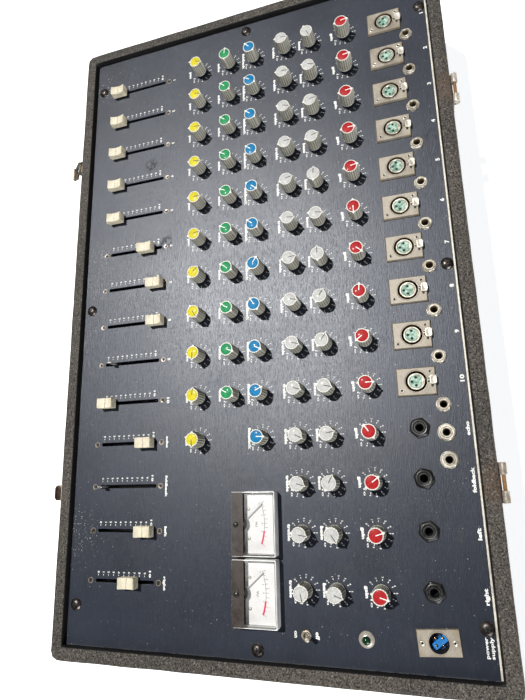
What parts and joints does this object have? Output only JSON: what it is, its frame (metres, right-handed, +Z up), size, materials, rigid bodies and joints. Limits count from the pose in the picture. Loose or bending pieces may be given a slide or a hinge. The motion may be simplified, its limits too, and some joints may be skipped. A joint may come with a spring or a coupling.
{
  "type": "mixing console",
  "caption": "Portable mixing console in a vinyl-covered case with sliding faders, rotary tone knobs, two level meters and rows of sockets.",
  "frame": {"origin": "centre of the case bottom, on the surface it stands on", "axes": "+X along the strips from channel 1 to the masters, +Y from the faders to the sockets, +Z up out of the panel"},
  "size_m": [0.705, 0.4599, 0.1224],
  "materials": {
    "vinyl": "grained vinyl cloth over plywood",
    "panel_paint": "satin",
    "circuit_board": "matte",
    "steel": "plated",
    "nickel": "satin nickel",
    "chrome": "polished",
    "black_plastic": "moulded",
    "meter_body": "printed white dial on black",
    "clear_acrylic": "clear",
    "pilot_lens": "chrome bezel with green lens",
    "aged_brass": "worn plating",
    "fader_cream": "moulded",
    "knob_plastic": "moulded",
    "needle_black": "painted"
  },
  "bodies": {
    "console": {"case_walls": "vinyl", "case_bottom": "vinyl", "control_panel": "panel_paint", "channel_board": "circuit_board", "fader_board": "steel", "input_sockets": "nickel", "channel_jacks": "chrome", "output_jacks": "black_plastic", "power_inlet": "nickel", "vu_meter_left": "meter_body", "vu_meter_right": "meter_body", "vu_cover_left": "clear_acrylic", "vu_cover_right": "clear_acrylic", "pilot_lamp": "pilot_lens", "toggle_body": "chrome", "rear_hinge_left": "aged_brass", "rear_hinge_right": "aged_brass", "catch_plate_left": "aged_brass", "catch_plate_right": "aged_brass"},
    "fader_01": {"fader_01": "fader_cream"},
    "gain_knob_01": {"gain_knob_01": "knob_plastic"},
    "fader_02": {"fader_02": "fader_cream"},
    "gain_knob_02": {"gain_knob_02": "knob_plastic"},
    "fader_03": {"fader_03": "fader_cream"},
    "gain_knob_03": {"gain_knob_03": "knob_plastic"},
    "fader_04": {"fader_04": "fader_cream"},
    "gain_knob_04": {"gain_knob_04": "knob_plastic"},
    "fader_05": {"fader_05": "fader_cream"},
    "gain_knob_05": {"gain_knob_05": "knob_plastic"},
    "fader_06": {"fader_06": "fader_cream"},
    "gain_knob_06": {"gain_knob_06": "knob_plastic"},
    "fader_07": {"fader_07": "fader_cream"},
    "gain_knob_07": {"gain_knob_07": "knob_plastic"},
    "fader_08": {"fader_08": "fader_cream"},
    "gain_knob_08": {"gain_knob_08": "knob_plastic"},
    "fader_09": {"fader_09": "black_plastic"},
    "gain_knob_09": {"gain_knob_09": "knob_plastic"},
    "fader_10": {"fader_10": "fader_cream"},
    "gain_knob_10": {"gain_knob_10": "knob_plastic"},
    "fader_echo": {"fader_echo": "fader_cream"},
    "gain_knob_echo": {"gain_knob_echo": "knob_plastic"},
    "treble_knob_echo": {"treble_knob_echo": "knob_plastic"},
    "bass_knob_echo": {"bass_knob_echo": "knob_plastic"},
    "fader_foldback": {"fader_foldback": "black_plastic"},
    "gain_knob_foldback": {"gain_knob_foldback": "knob_plastic"},
    "treble_knob_foldback": {"treble_knob_foldback": "knob_plastic"},
    "bass_knob_foldback": {"bass_knob_foldback": "knob_plastic"},
    "fader_left": {"fader_left": "fader_cream"},
    "gain_knob_left": {"gain_knob_left": "knob_plastic"},
    "treble_knob_left": {"treble_knob_left": "knob_plastic"},
    "bass_knob_left": {"bass_knob_left": "knob_plastic"},
    "fader_right": {"fader_right": "fader_cream"},
    "gain_knob_right": {"gain_knob_right": "knob_plastic"},
    "treble_knob_right": {"treble_knob_right": "knob_plastic"},
    "bass_knob_right": {"bass_knob_right": "knob_plastic"},
    "toggle_lever": {"toggle_lever": "chrome"},
    "vu_needle_left": {"vu_needle_left": "needle_black"},
    "vu_needle_right": {"vu_needle_right": "needle_black"},
    "catch_lever_left": {"catch_lever_left": "aged_brass"},
    "catch_lever_right": {"catch_lever_right": "aged_brass"}
  },
  "joints": [
    {"name": "fader_01_slide", "type": "slide", "parent": "console", "child": "fader_01", "axis": [0, 1, 0], "range_m": [-0.001, 0.059]},
    {"name": "gain_knob_01_turn", "type": "hinge", "parent": "console", "child": "gain_knob_01", "pos_m": [-0.288, 0.1129, 0.114], "axis": [0, 0, 1], "range_deg": [-160, 140]},
    {"name": "fader_02_slide", "type": "slide", "parent": "console", "child": "fader_02", "axis": [0, 1, 0], "range_m": [-0.0026, 0.0574]},
    {"name": "gain_knob_02_turn", "type": "hinge", "parent": "console", "child": "gain_knob_02", "pos_m": [-0.2448, 0.1129, 0.114], "axis": [0, 0, 1], "range_deg": [-160, 140]},
    {"name": "fader_03_slide", "type": "slide", "parent": "console", "child": "fader_03", "axis": [0, 1, 0], "range_m": [-0.0026, 0.0574]},
    {"name": "gain_knob_03_turn", "type": "hinge", "parent": "console", "child": "gain_knob_03", "pos_m": [-0.2016, 0.1129, 0.114], "axis": [0, 0, 1], "range_deg": [-158, 142]},
    {"name": "fader_04_slide", "type": "slide", "parent": "console", "child": "fader_04", "axis": [0, 1, 0], "range_m": [-0.0032, 0.0568]},
    {"name": "gain_knob_04_turn", "type": "hinge", "parent": "console", "child": "gain_knob_04", "pos_m": [-0.1584, 0.1129, 0.114], "axis": [0, 0, 1], "range_deg": [-155, 145]},
    {"name": "fader_05_slide", "type": "slide", "parent": "console", "child": "fader_05", "axis": [0, 1, 0], "range_m": [-0.0042, 0.0558]},
    {"name": "gain_knob_05_turn", "type": "hinge", "parent": "console", "child": "gain_knob_05", "pos_m": [-0.1152, 0.1129, 0.114], "axis": [0, 0, 1], "range_deg": [-162, 138]},
    {"name": "fader_06_slide", "type": "slide", "parent": "console", "child": "fader_06", "axis": [0, 1, 0], "range_m": [-0.0451, 0.0149]},
    {"name": "gain_knob_06_turn", "type": "hinge", "parent": "console", "child": "gain_knob_06", "pos_m": [-0.072, 0.1129, 0.114], "axis": [0, 0, 1], "range_deg": [-60, 240]},
    {"name": "fader_07_slide", "type": "slide", "parent": "console", "child": "fader_07", "axis": [0, 1, 0], "range_m": [-0.0575, 0.0025]},
    {"name": "gain_knob_07_turn", "type": "hinge", "parent": "console", "child": "gain_knob_07", "pos_m": [-0.0288, 0.1129, 0.114], "axis": [0, 0, 1], "range_deg": [-110, 190]},
    {"name": "fader_08_slide", "type": "slide", "parent": "console", "child": "fader_08", "axis": [0, 1, 0], "range_m": [-0.0595, 0.0005]},
    {"name": "gain_knob_08_turn", "type": "hinge", "parent": "console", "child": "gain_knob_08", "pos_m": [0.0144, 0.1129, 0.114], "axis": [0, 0, 1], "range_deg": [-235, 65]},
    {"name": "fader_09_slide", "type": "slide", "parent": "console", "child": "fader_09", "axis": [0, 1, 0], "range_m": [-0.0085, 0.0515]},
    {"name": "gain_knob_09_turn", "type": "hinge", "parent": "console", "child": "gain_knob_09", "pos_m": [0.0576, 0.1129, 0.114], "axis": [0, 0, 1], "range_deg": [-5, 295]},
    {"name": "fader_10_slide", "type": "slide", "parent": "console", "child": "fader_10", "axis": [0, 1, 0], "range_m": [-0.0039, 0.0561]},
    {"name": "gain_knob_10_turn", "type": "hinge", "parent": "console", "child": "gain_knob_10", "pos_m": [0.1008, 0.1129, 0.114], "axis": [0, 0, 1], "range_deg": [-150, 150]},
    {"name": "fader_echo_slide", "type": "slide", "parent": "console", "child": "fader_echo", "axis": [0, 1, 0], "range_m": [-0.0511, 0.0089]},
    {"name": "gain_knob_echo_turn", "type": "hinge", "parent": "console", "child": "gain_knob_echo", "pos_m": [0.144, 0.1129, 0.114], "axis": [0, 0, 1], "range_deg": [-275, 25]},
    {"name": "treble_knob_echo_turn", "type": "hinge", "parent": "console", "child": "treble_knob_echo", "pos_m": [0.144, 0.0465, 0.114], "axis": [0, 0, 1], "range_deg": [-122, 178]},
    {"name": "bass_knob_echo_turn", "type": "hinge", "parent": "console", "child": "bass_knob_echo", "pos_m": [0.144, 0.0754, 0.114], "axis": [0, 0, 1], "range_deg": [-162, 138]},
    {"name": "fader_foldback_slide", "type": "slide", "parent": "console", "child": "fader_foldback", "axis": [0, 1, 0], "range_m": [-0.0038, 0.0562]},
    {"name": "gain_knob_foldback_turn", "type": "hinge", "parent": "console", "child": "gain_knob_foldback", "pos_m": [0.1872, 0.1129, 0.114], "axis": [0, 0, 1], "range_deg": [-188, 112]},
    {"name": "treble_knob_foldback_turn", "type": "hinge", "parent": "console", "child": "treble_knob_foldback", "pos_m": [0.1872, 0.0465, 0.114], "axis": [0, 0, 1], "range_deg": [-133, 167]},
    {"name": "bass_knob_foldback_turn", "type": "hinge", "parent": "console", "child": "bass_knob_foldback", "pos_m": [0.1872, 0.0754, 0.114], "axis": [0, 0, 1], "range_deg": [-212, 88]},
    {"name": "fader_left_slide", "type": "slide", "parent": "console", "child": "fader_left", "axis": [0, 1, 0], "range_m": [-0.053, 0.007]},
    {"name": "gain_knob_left_turn", "type": "hinge", "parent": "console", "child": "gain_knob_left", "pos_m": [0.2304, 0.1129, 0.114], "axis": [0, 0, 1], "range_deg": [-168, 132]},
    {"name": "treble_knob_left_turn", "type": "hinge", "parent": "console", "child": "treble_knob_left", "pos_m": [0.2304, 0.0465, 0.114], "axis": [0, 0, 1], "range_deg": [-139, 161]},
    {"name": "bass_knob_left_turn", "type": "hinge", "parent": "console", "child": "bass_knob_left", "pos_m": [0.2304, 0.0754, 0.114], "axis": [0, 0, 1], "range_deg": [-91, 209]},
    {"name": "fader_right_slide", "type": "slide", "parent": "console", "child": "fader_right", "axis": [0, 1, 0], "range_m": [-0.0373, 0.0227]},
    {"name": "gain_knob_right_turn", "type": "hinge", "parent": "console", "child": "gain_knob_right", "pos_m": [0.27792, 0.1129, 0.114], "axis": [0, 0, 1], "range_deg": [-132, 168]},
    {"name": "treble_knob_right_turn", "type": "hinge", "parent": "console", "child": "treble_knob_right", "pos_m": [0.27792, 0.0465, 0.114], "axis": [0, 0, 1], "range_deg": [-70, 230]},
    {"name": "bass_knob_right_turn", "type": "hinge", "parent": "console", "child": "bass_knob_right", "pos_m": [0.27792, 0.0754, 0.114], "axis": [0, 0, 1], "range_deg": [-129, 171]},
    {"name": "power_toggle_tilt", "type": "hinge", "parent": "console", "child": "toggle_lever", "pos_m": [0.3144, 0.0461, 0.105], "axis": [1, 0, 0], "range_deg": [0, 32]},
    {"name": "vu_needle_left_swing", "type": "hinge", "parent": "console", "child": "vu_needle_left", "pos_m": [0.222, -0.009, 0.1107], "axis": [0, 0, 1], "range_deg": [-84.6, 0], "stiffness_Nm_per_rad": 0.0002},
    {"name": "vu_needle_right_swing", "type": "hinge", "parent": "console", "child": "vu_needle_right", "pos_m": [0.2813, -0.009, 0.1107], "axis": [0, 0, 1], "range_deg": [-84.6, 0], "stiffness_Nm_per_rad": 0.0002},
    {"name": "catch_lever_left_swing", "type": "hinge", "parent": "console", "child": "catch_lever_left", "pos_m": [-0.1975, -0.2212, 0.102], "axis": [1, 0, 0], "range_deg": [-41, 57]},
    {"name": "catch_lever_right_swing", "type": "hinge", "parent": "console", "child": "catch_lever_right", "pos_m": [0.1925, -0.2212, 0.102], "axis": [1, 0, 0], "range_deg": [-98, 0]}
  ]
}
